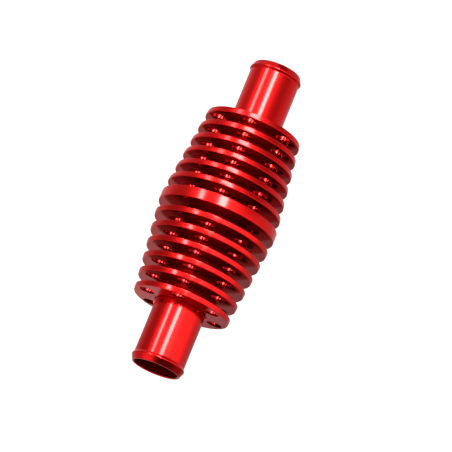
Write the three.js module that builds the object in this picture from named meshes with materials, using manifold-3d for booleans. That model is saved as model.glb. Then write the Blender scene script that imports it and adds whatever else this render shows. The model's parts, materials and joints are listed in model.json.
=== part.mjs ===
// A finned in-line fuel filter: a turned barrel with two screwed hose spigots and a spring-held cartridge.
// Millimetres, +Z up. It stands on the tip of the outlet spigot, with its axis on the Z axis.
import * as THREE from 'three';
import { mergeVertices } from 'three/addons/utils/BufferGeometryUtils.js';
import Module from 'manifold-3d';

const wasm = await Module();
wasm.setup();

// Facets
const BODY_SIDES = 28;
const RING_SIDES = 20;
const HOLE_SIDES = 8;
const THREAD_STEPS = 16;
const SPRING_STEPS = 10;
const SPRING_SIDES = 6;
const SCREEN_HOLE_SIDES = 4;
const WINDOW_ROWS = 3;
const CORE_WINDOW_COLUMNS = 6;
const GUARD_WINDOW_COLUMNS = 8;
const CUT_OVERSHOOT = 1;
const MERGE_DISTANCE = 1e-5;

// Running and seating clearances
const PILOT_CLEARANCE = 0.1;
const SEAT_GAP = 0.3;
const NEST_GAP = 0.15;
const THREAD_CLEARANCE = 0.12;
const SEAL_GAP = 0.08;

// Finned barrel
const FINS_EACH_SIDE = 6;
const FIN_THICKNESS = 2.0;
const FIN_GAP = 3.4;
const BAND_WIDTH = 4.0;
const BAND_RADIUS = 21.15;
const END_FIN_RADIUS = 17.15;
const CORE_RADIUS = 10.6;
const HOLE_COUNT = 6;
const HOLE_RADIUS = 2.7;
const HOLE_CIRCLE_RADIUS = 13.5;
const FIRST_HOLE_ANGLE = Math.PI / 6;

// Hose spigots, outside the barrel
const SPIGOT_LENGTH = 23.1;
const SPIGOT_RADIUS = 9.0;
const SPIGOT_BORE_RADIUS = 7.85;
const BEAD_HEIGHT = 0.55;
const BEAD_FROM_TIP = 2.2;
const BEAD_BACK_LENGTH = 1.0;
const LIP_DROP = 0.45;
const MOUTH_CHAMFER = 0.25;
const FOOT_STEP = 0.4;
const FOOT_HEIGHT = 0.35;

// Hose spigots, inside the barrel; a depth runs inwards from the barrel's end face
const PILOT_DEPTH = 4.0;
const SEAL_GROOVE_DEPTH = 1.1;
const SEAL_GROOVE_WIDTH = 2.0;
const SEAL_GROOVE_WALL = 1.3;
const SEAL_WIDTH = 1.5;
const SEAL_FLAT_SHARE = 0.5;
const THREAD_RADIUS = 9.0;
const THREAD_PITCH = 1.5;
const THREAD_HEIGHT = 0.92;
const THREAD_CREST = 0.19;
const THREAD_LENGTH = 6.0;
const RELIEF_LENGTH = 1.0;
const NOSE_LENGTH = 0.8;
const KEY_ACROSS_FLATS = 11.0;
const KEY_SOCKET_LENGTH = 8.0;
const PASSAGE_RADIUS = 5.2;

// Coarse screen, thrust washer and spring
const SCREEN_RADIUS = 6.9;
const SCREEN_THICKNESS = 0.6;
const SCREEN_HOLE_RADIUS = 0.55;
const SCREEN_HOLE_PITCH = 2.1;
const WASHER_THICKNESS = 0.8;
const WASHER_HOLE_RADIUS = 4.9;
const WASHER_RIM_GAP = 0.4;
const SPRING_WIRE = 1.0;
const SPRING_MEAN_RADIUS = 6.1;
const SPRING_TURNS = 4.5;
const SPRING_LENGTH = 8.6;

// Cartridge
const CHAMBER_RADIUS = 8.1;
const CORE_TUBE_RADIUS = 4.2;
const CORE_TUBE_WALL = 0.6;
const GAUZE_WALL = 0.25;
const PLEAT_COUNT = 16;
const PLEAT_DEPTH = 1.25;
const PLEAT_SHEET = 0.35;
const CLIP_SHEET = 0.2;
const CLIP_REACH = 0.45;
const GUARD_WALL = 0.3;
const GUARD_GAP = 0.5;
const WINDOW_WIDTH_SHARE = 0.5;
const WINDOW_HEIGHT_SHARE = 0.6;
const CUP_WALL = 0.3;
const CUP_DEPTH = 2.0;
const CAP_PLATE = 1.2;
const BOSS_RADIUS = 4.9;
const BOSS_HEIGHT = 1.2;
const BOTTOM_FLANGE = 3.4;
const ELEMENT_SEAL_WIDTH = 1.2;
const ELEMENT_GROOVE_WIDTH = 1.5;
const ELEMENT_GROOVE_DEPTH = 1.0;
const POTTING_THICKNESS = 0.8;
const SUPPORT_WASHER = 0.6;
const SUPPORT_WASHER_HOLE = 4.9;
const RETAINING_RING = 0.8;
const RETAINING_RING_WIDTH = 1.35;
const RETAINING_GROOVE_DEPTH = 0.6;
const RETAINING_OPENING = Math.PI / 7;

// Levels and fits that follow from the sizes above
const halfBarrel = BAND_WIDTH / 2 + FINS_EACH_SIDE * (FIN_GAP + FIN_THICKNESS);
const middle = SPIGOT_LENGTH + halfBarrel;
const barrelBottom = middle - halfBarrel;
const barrelTop = middle + halfBarrel;
const rimSlope = (BAND_RADIUS - END_FIN_RADIUS) / (halfBarrel - BAND_WIDTH / 2);
const pilotRadius = SPIGOT_RADIUS + FOOT_STEP;
const counterboreRadius = pilotRadius + PILOT_CLEARANCE;
const counterboreDepth = PILOT_DEPTH + SEAT_GAP;
const threadRoot = THREAD_RADIUS - THREAD_HEIGHT;
const noseDepth = PILOT_DEPTH + RELIEF_LENGTH + THREAD_LENGTH + NOSE_LENGTH;
const tappedDepth = noseDepth + SEAT_GAP;
const tappedRadius = threadRoot + PILOT_CLEARANCE + SEAL_GAP;
const keyRadius = KEY_ACROSS_FLATS / Math.sqrt(3);
const recessRadius = SCREEN_RADIUS + NEST_GAP;
const recessDepth = SCREEN_THICKNESS + SEAT_GAP;
const noseTop = barrelTop - noseDepth;
const noseBottom = barrelBottom + noseDepth;

const ringBottom = noseBottom + SEAT_GAP;
const ringTop = ringBottom + RETAINING_RING;
const grooveRadius = CHAMBER_RADIUS + RETAINING_GROOVE_DEPTH;
const supportBottom = ringTop + SEAT_GAP;
const supportTop = supportBottom + SUPPORT_WASHER;
const bottomCapBase = supportTop + SEAT_GAP;
const bottomFlangeTop = bottomCapBase + BOTTOM_FLANGE;
const cupFloor = bottomFlangeTop + SEAT_GAP;
const washerTop = noseTop - SEAT_GAP;
const washerBottom = washerTop - WASHER_THICKNESS;
const springTop = washerBottom - SEAT_GAP;
const springBottom = springTop - SPRING_LENGTH;
const topPlateTop = springBottom - SEAT_GAP;
const cupCeiling = topPlateTop - CAP_PLATE;

const gauzeInner = CORE_TUBE_RADIUS + NEST_GAP;
const gauzeOuter = gauzeInner + GAUZE_WALL;
const pleatInner = gauzeOuter + NEST_GAP;
const pleatOuter = pleatInner + PLEAT_DEPTH;
const guardInner = pleatOuter + GUARD_GAP;
const guardOuter = guardInner + GUARD_WALL;
const cupInner = guardOuter + NEST_GAP;
const cupOuter = cupInner + CUP_WALL;
const flangeRadius = CHAMBER_RADIUS - NEST_GAP;
const elementGrooveRadius = flangeRadius - ELEMENT_GROOVE_DEPTH;

const object = new THREE.Group();

const finish = (color, metalness, roughness) =>
  new THREE.MeshStandardMaterial({ color, metalness, roughness });

const materials = {
  anodised: finish(0xc8101c, 0.9, 0.28),
  rubber: finish(0x1c1c1e, 0.0, 0.7),
  steel: finish(0xb9bcc0, 0.95, 0.35),
  mesh: finish(0xa6a8a4, 0.85, 0.55),
  plain: finish(0xc9ccd0, 0.9, 0.4),
  resin: finish(0x3b3f44, 0.0, 0.6),
};

// A closed geometry as a solid whose faces point out
function solid(geometry) {
  geometry.deleteAttribute('normal');
  geometry.deleteAttribute('uv');
  const merged = mergeVertices(geometry, MERGE_DISTANCE);
  const vertProperties = new Float32Array(merged.attributes.position.array);
  const triVerts = new Uint32Array(merged.index.array);
  const made = new wasm.Manifold(new wasm.Mesh({ numProp: 3, vertProperties, triVerts }));
  if (made.volume() > 0) return made;
  for (let i = 0; i < triVerts.length; i += 3) {
    const first = triVerts[i];
    triVerts[i] = triVerts[i + 1];
    triVerts[i + 1] = first;
  }
  return new wasm.Manifold(new wasm.Mesh({ numProp: 3, vertProperties, triVerts }));
}

const joined = (solids) => solids.reduce((whole, next) => whole.add(next));

function geometryOf(made) {
  const { numProp, vertProperties, triVerts } = made.getMesh();
  const points = [];
  for (const v of triVerts) {
    points.push(vertProperties[v * numProp]);
    points.push(vertProperties[v * numProp + 1]);
    points.push(vertProperties[v * numProp + 2]);
  }
  const geometry = new THREE.BufferGeometry();
  geometry.setAttribute('position', new THREE.Float32BufferAttribute(points, 3));
  geometry.computeVertexNormals();
  return geometry;
}

function addPiece(name, made, material) {
  const mesh = new THREE.Mesh(geometryOf(made), material);
  mesh.name = name;
  object.add(mesh);
}

// A closed outline of [radius, height] points, turned round the Z axis
function turned(outline, sides = RING_SIDES) {
  const points = [...outline, outline[0]].map(([r, z]) => new THREE.Vector2(r, z));
  return solid(new THREE.LatheGeometry(points, sides).rotateX(Math.PI / 2));
}

const sleeve = (inner, outer, low, high, sides) =>
  turned([[inner, low], [outer, low], [outer, high], [inner, high]], sides);

function rod(radius, low, high, sides, x = 0, y = 0) {
  const bar = new THREE.CylinderGeometry(radius, radius, high - low, sides);
  return solid(bar.rotateX(Math.PI / 2).translate(x, y, (low + high) / 2));
}

// An outline in the XY plane, raised from low to high
function raised(shape, low, high) {
  const options = { depth: high - low, bevelEnabled: false, curveSegments: RING_SIDES / 2 };
  return solid(new THREE.ExtrudeGeometry(shape, options).translate(0, 0, low));
}

const polar = (radius, angle) => new THREE.Vector2(radius * Math.cos(angle), radius * Math.sin(angle));

// A ridge of a right-hand thread, in phase with height zero at angle zero
function threadRidge(low, high, baseRadius, baseWidth, crestRadius, crestWidth) {
  const steps = Math.ceil(((high - low) / THREAD_PITCH) * THREAD_STEPS);
  const section = [
    [baseRadius, -baseWidth / 2],
    [crestRadius, -crestWidth / 2],
    [crestRadius, crestWidth / 2],
    [baseRadius, baseWidth / 2],
  ];
  const positions = [];
  const index = [];
  for (let i = 0; i <= steps; i += 1) {
    const z = low + ((high - low) * i) / steps;
    const angle = (2 * Math.PI * z) / THREAD_PITCH;
    for (const [r, dz] of section) positions.push(r * Math.cos(angle), r * Math.sin(angle), z + dz);
  }
  for (let i = 0; i < steps; i += 1) {
    for (let k = 0; k < 4; k += 1) {
      const a = 4 * i + k;
      const b = 4 * i + ((k + 1) % 4);
      index.push(a, b, b + 4, a, b + 4, a + 4);
    }
  }
  const last = 4 * steps;
  index.push(0, 2, 1, 0, 3, 2);
  index.push(last, last + 1, last + 2, last, last + 2, last + 3);
  const geometry = new THREE.BufferGeometry();
  geometry.setAttribute('position', new THREE.Float32BufferAttribute(positions, 3));
  geometry.setIndex(index);
  return solid(geometry);
}

// The width of the thread's ridge at a radius, widened by a clearance on each flank
const ridgeWidth = (radius, clearance) =>
  THREAD_CREST + 2 * (THREAD_RADIUS - radius) * Math.tan(Math.PI / 6) + 2 * clearance;

const rimRadius = (fromMiddle) => BAND_RADIUS - rimSlope * Math.max(0, fromMiddle - BAND_WIDTH / 2);

// The barrel's outline over one side of the band, from the band outwards
function finOutline(side) {
  const points = [];
  for (let i = 0; i < FINS_EACH_SIDE; i += 1) {
    const near = BAND_WIDTH / 2 + FIN_GAP + i * (FIN_GAP + FIN_THICKNESS);
    const far = near + FIN_THICKNESS;
    points.push([CORE_RADIUS, middle + side * near]);
    points.push([rimRadius(near), middle + side * near]);
    points.push([rimRadius(far), middle + side * far]);
    if (i < FINS_EACH_SIDE - 1) points.push([CORE_RADIUS, middle + side * far]);
  }
  return points;
}

function barrelOutline() {
  const band = [
    [CORE_RADIUS, middle - BAND_WIDTH / 2],
    [BAND_RADIUS, middle - BAND_WIDTH / 2],
    [BAND_RADIUS, middle + BAND_WIDTH / 2],
    [CORE_RADIUS, middle + BAND_WIDTH / 2],
  ];
  const bore = [
    [counterboreRadius, barrelTop],
    [counterboreRadius, barrelTop - counterboreDepth],
    [tappedRadius, barrelTop - counterboreDepth],
    [tappedRadius, barrelTop - tappedDepth],
    [CHAMBER_RADIUS, barrelTop - tappedDepth],
    [CHAMBER_RADIUS, ringTop + NEST_GAP],
    [grooveRadius, ringTop + NEST_GAP],
    [grooveRadius, ringBottom - NEST_GAP],
    [tappedRadius, ringBottom - NEST_GAP],
    [tappedRadius, barrelBottom + counterboreDepth],
    [counterboreRadius, barrelBottom + counterboreDepth],
    [counterboreRadius, barrelBottom],
  ];
  return [...finOutline(-1).reverse(), ...band, ...finOutline(1), ...bore];
}

// The lengthwise holes run through every fin and stop short of the band
function finHoles() {
  const holes = [];
  const inner = BAND_WIDTH / 2 + FIN_GAP / 2;
  const outer = halfBarrel + FIN_GAP / 2;
  for (let i = 0; i < HOLE_COUNT; i += 1) {
    const angle = FIRST_HOLE_ANGLE + (2 * Math.PI * i) / HOLE_COUNT;
    const { x, y } = polar(HOLE_CIRCLE_RADIUS, angle);
    holes.push(rod(HOLE_RADIUS, middle + inner, middle + outer, HOLE_SIDES, x, y));
    holes.push(rod(HOLE_RADIUS, middle - outer, middle - inner, HOLE_SIDES, x, y));
  }
  return holes;
}

// The cut of the tapped hole, in the frame of a spigot, whose height zero is the barrel's end face
function tappedCut() {
  const baseRadius = tappedRadius - NEST_GAP;
  const crestRadius = THREAD_RADIUS + PILOT_CLEARANCE + SEAL_GAP;
  const top = THREAD_PITCH / 2 - counterboreDepth;
  const bottom = SEAT_GAP - noseDepth;
  const baseWidth = ridgeWidth(baseRadius, THREAD_CLEARANCE);
  return threadRidge(bottom, top, baseRadius, baseWidth, crestRadius, THREAD_CREST);
}

// Turns a solid made in a spigot's frame to the inlet end or the outlet end
function atEnd(made, inlet) {
  return inlet ? made.translate([0, 0, barrelTop]) : made.rotate([180, 0, 0]).translate([0, 0, barrelBottom]);
}

function makeBarrel() {
  const cuts = [...finHoles(), atEnd(tappedCut(), true), atEnd(tappedCut(), false)];
  addPiece('finned_body', turned(barrelOutline(), BODY_SIDES).subtract(joined(cuts)), materials.anodised);
}

// A spigot stands on height zero, the barrel's end face, and reaches down into the barrel
function spigotOutline() {
  const tip = SPIGOT_LENGTH;
  const crest = SPIGOT_RADIUS + BEAD_HEIGHT;
  const sealBottom = pilotRadius - SEAL_GROOVE_WALL;
  return [
    [SPIGOT_BORE_RADIUS, tip - MOUTH_CHAMFER],
    [SPIGOT_BORE_RADIUS + MOUTH_CHAMFER, tip],
    [SPIGOT_RADIUS - LIP_DROP, tip],
    [crest, tip - BEAD_FROM_TIP],
    [SPIGOT_RADIUS, tip - BEAD_FROM_TIP - BEAD_BACK_LENGTH],
    [SPIGOT_RADIUS, FOOT_HEIGHT + FOOT_STEP / 2],
    [pilotRadius, FOOT_HEIGHT / 2],
    [pilotRadius, -SEAL_GROOVE_DEPTH],
    [sealBottom, -SEAL_GROOVE_DEPTH],
    [sealBottom, -SEAL_GROOVE_DEPTH - SEAL_GROOVE_WIDTH],
    [pilotRadius, -SEAL_GROOVE_DEPTH - SEAL_GROOVE_WIDTH],
    [pilotRadius, -PILOT_DEPTH],
    [threadRoot, -PILOT_DEPTH],
    [threadRoot, -noseDepth],
    [recessRadius, -noseDepth],
    [recessRadius, recessDepth - noseDepth],
    [PASSAGE_RADIUS, recessDepth - noseDepth],
    [PASSAGE_RADIUS, 0],
    [SPIGOT_BORE_RADIUS, FOOT_HEIGHT],
  ];
}

function spigotSolid() {
  const baseRadius = threadRoot - NEST_GAP;
  const low = -PILOT_DEPTH - RELIEF_LENGTH - THREAD_LENGTH + THREAD_PITCH / 2;
  const high = -PILOT_DEPTH - RELIEF_LENGTH;
  const ridge = threadRidge(low, high, baseRadius, ridgeWidth(baseRadius, 0), THREAD_RADIUS, THREAD_CREST);
  const socket = rod(keyRadius, -KEY_SOCKET_LENGTH, SPIGOT_RADIUS, 6);
  return turned(spigotOutline(), BODY_SIDES).add(ridge).subtract(socket);
}

// A squeezed seal ring: flat where it meets its groove and its bore, and bulging at its two sides
function sealRing(innerRadius, outerRadius, width, centre) {
  const flat = (width * SEAL_FLAT_SHARE) / 2;
  return turned([
    [innerRadius, centre - flat],
    [(innerRadius + outerRadius) / 2, centre - width / 2],
    [outerRadius, centre - flat],
    [outerRadius, centre + flat],
    [(innerRadius + outerRadius) / 2, centre + width / 2],
    [innerRadius, centre + flat],
  ], BODY_SIDES);
}

function makeSpigots() {
  const seal = sealRing(
    pilotRadius - SEAL_GROOVE_WALL + SEAL_GAP,
    counterboreRadius - SEAL_GAP,
    SEAL_WIDTH,
    -SEAL_GROOVE_DEPTH - SEAL_GROOVE_WIDTH / 2,
  );
  addPiece('inlet_spigot', atEnd(spigotSolid(), true), materials.anodised);
  addPiece('inlet_o_ring', atEnd(seal, true), materials.rubber);
  addPiece('outlet_spigot', atEnd(spigotSolid(), false), materials.anodised);
  addPiece('outlet_o_ring', atEnd(seal, false), materials.rubber);
}

function makeScreen() {
  const bottom = noseTop;
  const top = bottom + SCREEN_THICKNESS;
  const holes = [];
  for (const [ring, count] of [[0, 1], [1, 6], [2, 12]]) {
    for (let i = 0; i < count; i += 1) {
      const { x, y } = polar(ring * SCREEN_HOLE_PITCH, (2 * Math.PI * i) / count);
      const [low, high] = [bottom - CUT_OVERSHOOT, top + CUT_OVERSHOOT];
      holes.push(rod(SCREEN_HOLE_RADIUS, low, high, SCREEN_HOLE_SIDES, x, y));
    }
  }
  const disc = rod(SCREEN_RADIUS, bottom, top, RING_SIDES);
  addPiece('inlet_screen', disc.subtract(joined(holes)), materials.mesh);
}

class Helix extends THREE.Curve {
  getPoint(t, target = new THREE.Vector3()) {
    const angle = 2 * Math.PI * SPRING_TURNS * t;
    const rise = (SPRING_LENGTH - SPRING_WIRE) * t;
    return target.set(
      SPRING_MEAN_RADIUS * Math.cos(angle),
      SPRING_MEAN_RADIUS * Math.sin(angle),
      springBottom + SPRING_WIRE / 2 + rise,
    );
  }
}

function makeSpring() {
  const wire = new THREE.Shape();
  wire.absarc(0, 0, SPRING_WIRE / 2, 0, 2 * Math.PI);
  const steps = Math.round(SPRING_TURNS * SPRING_STEPS);
  const options = { extrudePath: new Helix(), steps, curveSegments: SPRING_SIDES / 2, bevelEnabled: false };
  addPiece('pressure_spring', solid(new THREE.ExtrudeGeometry(wire, options)), materials.steel);
}

function makeTopEnd() {
  const washerRadius = CHAMBER_RADIUS - WASHER_RIM_GAP;
  addPiece('thrust_washer', sleeve(WASHER_HOLE_RADIUS, washerRadius, washerBottom, washerTop), materials.steel);
  const cap = turned([
    [0, cupCeiling],
    [cupInner, cupCeiling],
    [cupInner, cupCeiling - CUP_DEPTH],
    [cupOuter, cupCeiling - CUP_DEPTH],
    [cupOuter, topPlateTop],
    [BOSS_RADIUS, topPlateTop],
    [BOSS_RADIUS, topPlateTop + BOSS_HEIGHT],
    [0, topPlateTop + BOSS_HEIGHT],
  ]);
  addPiece('element_top_cap', cap, materials.plain);
}

function makeBottomEnd() {
  const bore = CORE_TUBE_RADIUS - CORE_TUBE_WALL;
  const grooveLow = bottomCapBase + (BOTTOM_FLANGE - ELEMENT_GROOVE_WIDTH) / 2;
  const grooveHigh = grooveLow + ELEMENT_GROOVE_WIDTH;
  const cap = turned([
    [bore, bottomCapBase],
    [flangeRadius, bottomCapBase],
    [flangeRadius, grooveLow],
    [elementGrooveRadius, grooveLow],
    [elementGrooveRadius, grooveHigh],
    [flangeRadius, grooveHigh],
    [flangeRadius, bottomFlangeTop],
    [cupOuter, bottomFlangeTop],
    [cupOuter, cupFloor + CUP_DEPTH],
    [cupInner, cupFloor + CUP_DEPTH],
    [cupInner, cupFloor],
    [bore, cupFloor],
  ]);
  addPiece('element_bottom_cap', cap, materials.plain);
  const seal = sealRing(
    elementGrooveRadius + SEAL_GAP,
    CHAMBER_RADIUS - SEAL_GAP,
    ELEMENT_SEAL_WIDTH,
    (grooveLow + grooveHigh) / 2,
  );
  addPiece('element_o_ring', seal, materials.rubber);
  const rim = CHAMBER_RADIUS - NEST_GAP;
  addPiece('support_washer', sleeve(SUPPORT_WASHER_HOLE, rim, supportBottom, supportTop), materials.steel);
  addPiece('retaining_ring', retainingRing(), materials.steel);
}

// The split ring, open by a small angle so that it can be squeezed into its groove
function retainingRing() {
  const outer = grooveRadius - NEST_GAP;
  const inner = outer - RETAINING_RING_WIDTH;
  const start = RETAINING_OPENING / 2;
  const end = 2 * Math.PI - RETAINING_OPENING / 2;
  const shape = new THREE.Shape();
  shape.absarc(0, 0, outer, start, end, false);
  shape.absarc(0, 0, inner, end, start, true);
  shape.closePath();
  return raised(shape, ringBottom, ringTop);
}

// Windows through both walls of a sleeve, in rows along it
function windows(radius, low, high, columns) {
  const cuts = [];
  const rowPitch = (high - low) / WINDOW_ROWS;
  const across = 2 * (radius + CUT_OVERSHOOT);
  for (let row = 0; row < WINDOW_ROWS; row += 1) {
    for (let i = 0; i < columns / 2; i += 1) {
      const bar = new THREE.BoxGeometry(across, radius * WINDOW_WIDTH_SHARE, rowPitch * WINDOW_HEIGHT_SHARE);
      bar.rotateZ((2 * Math.PI * i) / columns + Math.PI / columns);
      bar.translate(0, 0, low + (row + 0.5) * rowPitch);
      cuts.push(solid(bar));
    }
  }
  return joined(cuts);
}

function makePerforatedSleeves(low, high) {
  const coreInner = CORE_TUBE_RADIUS - CORE_TUBE_WALL;
  const openLow = low + CUP_DEPTH;
  const openHigh = high - CUP_DEPTH;
  const core = sleeve(coreInner, CORE_TUBE_RADIUS, low, high);
  const coreCuts = windows(CORE_TUBE_RADIUS, openLow, openHigh, CORE_WINDOW_COLUMNS);
  addPiece('core_tube', core.subtract(coreCuts), materials.steel);
  const guard = sleeve(guardInner, guardOuter, low, high);
  const guardCuts = windows(guardOuter, openLow, openHigh, GUARD_WINDOW_COLUMNS);
  addPiece('outer_guard', guard.subtract(guardCuts), materials.steel);
}

// The pleats as a zigzag ring, whose sheet is thinner than its folds are deep
function pleatedRing(low, high) {
  const shape = new THREE.Shape();
  const hole = new THREE.Path();
  for (let i = 0; i < 2 * PLEAT_COUNT; i += 1) {
    const angle = (Math.PI * i) / PLEAT_COUNT;
    const outside = polar(i % 2 ? pleatInner + PLEAT_SHEET : pleatOuter, angle);
    const inside = polar(i % 2 ? pleatInner : pleatOuter - PLEAT_SHEET, angle);
    if (i === 0) {
      shape.moveTo(outside.x, outside.y);
      hole.moveTo(inside.x, inside.y);
    } else {
      shape.lineTo(outside.x, outside.y);
      hole.lineTo(inside.x, inside.y);
    }
  }
  shape.closePath();
  hole.closePath();
  shape.holes.push(hole);
  return raised(shape, low, high);
}

// The folded strip over the seam, on the first pleat's outer edge
function seamClip(low, high) {
  const valley = polar(pleatInner + PLEAT_SHEET, Math.PI / PLEAT_COUNT);
  const tip = new THREE.Vector2(pleatOuter, 0);
  const foot = tip.clone().lerp(valley, CLIP_REACH);
  const inner = NEST_GAP;
  const outer = NEST_GAP + CLIP_SHEET;
  const shape = new THREE.Shape([
    new THREE.Vector2(foot.x + inner, -foot.y),
    new THREE.Vector2(foot.x + outer, -foot.y - CLIP_SHEET / 2),
    new THREE.Vector2(tip.x + outer, -CLIP_SHEET / 2),
    new THREE.Vector2(tip.x + outer, CLIP_SHEET / 2),
    new THREE.Vector2(foot.x + outer, foot.y + CLIP_SHEET / 2),
    new THREE.Vector2(foot.x + inner, foot.y),
    new THREE.Vector2(tip.x + inner, 0),
  ]);
  return raised(shape, low, high);
}

function makeCartridge() {
  const low = cupFloor + NEST_GAP;
  const high = cupCeiling - NEST_GAP;
  const packLow = low + POTTING_THICKNESS + NEST_GAP;
  const packHigh = high - POTTING_THICKNESS - NEST_GAP;
  const rim = guardInner - NEST_GAP;
  makePerforatedSleeves(low, high);
  addPiece('bottom_potting_ring', sleeve(gauzeInner, rim, low, low + POTTING_THICKNESS), materials.resin);
  addPiece('top_potting_ring', sleeve(gauzeInner, rim, high - POTTING_THICKNESS, high), materials.resin);
  addPiece('support_gauze', sleeve(gauzeInner, gauzeOuter, packLow, packHigh), materials.mesh);
  addPiece('pleated_mesh', pleatedRing(packLow, packHigh), materials.mesh);
  addPiece('seam_clip', seamClip(packLow, packHigh), materials.steel);
}

makeBarrel();
makeSpigots();
makeScreen();
makeSpring();
makeTopEnd();
makeBottomEnd();
makeCartridge();

export default object;
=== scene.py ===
import json
from functools import cache
from math import asin, atan2, copysign, cos, pi, radians, sin, tan

import bmesh
import bpy
from bpy.props import FloatProperty, FloatVectorProperty, IntProperty, PointerProperty
from mathutils import Matrix, Vector
from mathutils.geometry import delaunay_2d_cdt


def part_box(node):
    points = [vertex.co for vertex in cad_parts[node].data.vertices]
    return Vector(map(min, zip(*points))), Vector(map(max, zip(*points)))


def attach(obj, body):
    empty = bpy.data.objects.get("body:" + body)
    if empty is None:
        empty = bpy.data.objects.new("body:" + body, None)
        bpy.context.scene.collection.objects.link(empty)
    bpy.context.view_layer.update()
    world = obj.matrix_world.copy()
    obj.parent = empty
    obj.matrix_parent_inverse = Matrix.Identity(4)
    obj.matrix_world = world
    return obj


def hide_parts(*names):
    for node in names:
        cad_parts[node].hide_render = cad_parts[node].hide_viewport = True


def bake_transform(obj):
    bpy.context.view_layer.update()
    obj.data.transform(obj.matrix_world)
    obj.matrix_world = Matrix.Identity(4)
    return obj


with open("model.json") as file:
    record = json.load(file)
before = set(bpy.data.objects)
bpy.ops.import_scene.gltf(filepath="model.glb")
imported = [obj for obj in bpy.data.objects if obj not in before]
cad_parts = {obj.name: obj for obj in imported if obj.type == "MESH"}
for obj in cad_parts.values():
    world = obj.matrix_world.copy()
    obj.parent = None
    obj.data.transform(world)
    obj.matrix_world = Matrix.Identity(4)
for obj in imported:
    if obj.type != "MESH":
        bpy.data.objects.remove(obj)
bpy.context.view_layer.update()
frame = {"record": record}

bl_info = {
    "name": "Finned fuel filter",
    "version": (1, 0, 0),
    "blender": (4, 5, 0),
    "location": "3D View > Sidebar > Filter",
    "description": "Builds the pieces of a finned in-line fuel filter and their finishes",
    "category": "Object",
}

MM = 0.001

# Steps and tolerances of the round shapes
AROUND = 144
HOLE_COUNT = 6
ARC_STEPS = AROUND // HOLE_COUNT
SIDE_STEPS = 8
HOLE_STEPS = 2 * ARC_STEPS + 2 * SIDE_STEPS
CORNER_STEPS = 3
LARGEST_CORNER_SHARE = 0.45
SMALL_STEPS = 24
CELL_STEPS = 6
PLEAT_STEPS = 16
PLEAT_ROWS = 8
SPRING_STEPS_PER_TURN = 48
SPRING_SIDES = 16
THREAD_ROWS_PER_PITCH = 12
PLATE_TOLERANCE = 1e-6
WELD_DISTANCE = 2e-7
SHARP_ANGLE = radians(38)

# Rounded edges that many pieces share
THIN_EDGE = 0.06 * MM
TURNED_EDGE = 0.1 * MM
SOFT_EDGE = 0.15 * MM

# Places taken from the frame, in metres
BARREL_LOW, BARREL_HIGH = (corner.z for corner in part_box("finned_body"))
MIDDLE = (BARREL_LOW + BARREL_HIGH) / 2
BAND_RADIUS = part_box("finned_body")[1].x
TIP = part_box("inlet_spigot")[1].z - BARREL_HIGH
NOSE = BARREL_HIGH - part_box("inlet_spigot")[0].z
PIECE_BODY = {
    node: body
    for body, nodes in frame["record"]["behaviour"]["bodies"].items()
    for node in nodes
}

# Finned barrel
FINS_EACH_SIDE = 6
FIRST_HOLE_ANGLE = radians(30)
CORE_RADIUS = 10.6 * MM
END_FIN_RADIUS = 17.15 * MM
COUNTERBORE_RADIUS = 9.5 * MM
COUNTERSINK_RADIUS = 9.25 * MM
COUNTERBORE_DEPTH = 4.3 * MM
TAPPED_RADIUS = 8.26 * MM
TAPPED_DEPTH = NOSE + 0.3 * MM
TAPPED_CHAMFER = 0.2 * MM
MOUTH_LAND = 1 * MM
RING_GROOVE_RADIUS = 8.7 * MM
RING_GROOVE_MARGIN = 0.15 * MM

# Places of the anodised finishes in a piece's list of materials; all but POLISHED are darker copies of the
# red that paint the shade of the gaps, the core, the holes and the bores
POLISHED, SIDE, CORE, HOLE, BORE = range(5)

# Screw threads, which are right-handed and in phase with the spigot's frame at angle zero
THREAD_PITCH = 1.5 * MM
THREAD_ROOT = 8.08 * MM
THREAD_HEIGHT = 0.92 * MM
THREAD_CREST = 0.19 * MM
THREAD_FADE = THREAD_PITCH / 2
THREAD_FLANK = THREAD_HEIGHT * tan(radians(30))
THREAD_CLEARANCE = 0.12 * MM
THREAD_START = -5.0 * MM
THREAD_END = -11.0 * MM
THREAD_JOIN = 0.01 * MM

# Spigot, in its own frame, whose height zero is the barrel's end face
PILOT_RADIUS = 9.4 * MM
PILOT_TOP = -0.35 * MM
PILOT_END = -4.0 * MM
PILOT_END_EDGE = 0.2 * MM
NOSE_EDGE = 0.25 * MM
SEAL_GROOVE_RADIUS = 8.1 * MM
SEAL_GROOVE_TOP = -1.1 * MM
SEAL_GROOVE_END = -3.1 * MM
RECESS_RADIUS = 7.05 * MM
RECESS_DEPTH = 0.9 * MM
PASSAGE_RADIUS = 5.2 * MM
KEY_HALF_WIDTH = 5.5 * MM
KEY_SOCKET_END = -8.0 * MM
KEY_RELIEF_RADIUS = 5.4 * MM
BORE_FLOOR = 0.35 * MM
LIP_INNER_RADIUS = 8.1 * MM
LIP_OUTER_RADIUS = 8.55 * MM
BEAD_FROM_TIP = 2.2 * MM
BEAD_BACK_LENGTH = 1.0 * MM
LIP_INNER_EDGE = 0.08 * MM
LIP_OUTER_EDGE = 0.12 * MM
# Length of the bore inside the lip that keeps the polished red; deeper in, the bore is rougher and takes a
# darker copy of the red as painted shade
POLISHED_UNSHADED_BORE = 1 * MM

# Seals and cartridge
SEAL_GAP = 0.08 * MM
ELEMENT_GROOVE_RADIUS = 6.95 * MM
CUP_WALL = 0.3 * MM
SLEEVE_MARGIN = 2.2 * MM
GAUZE_INNER_RADIUS = 4.35 * MM
PLEAT_INNER_RADIUS = 4.75 * MM
PLEAT_OUTER_RADIUS = 6.0 * MM
PLEAT_SHEET = 0.35 * MM

# The photograph's camera
VIEW_AZIMUTH = radians(-11)
VIEW_ELEVATION = radians(16.1)
VIEW_ROLL = radians(202.3)
VIEW_DISTANCE = 950 * MM
FRAME_PIXELS = 452
FOCAL_PIXELS = 2763
SENSOR_WIDTH = 36.0
MIDDLE_PIXEL = (217.53, 217.72)

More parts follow.
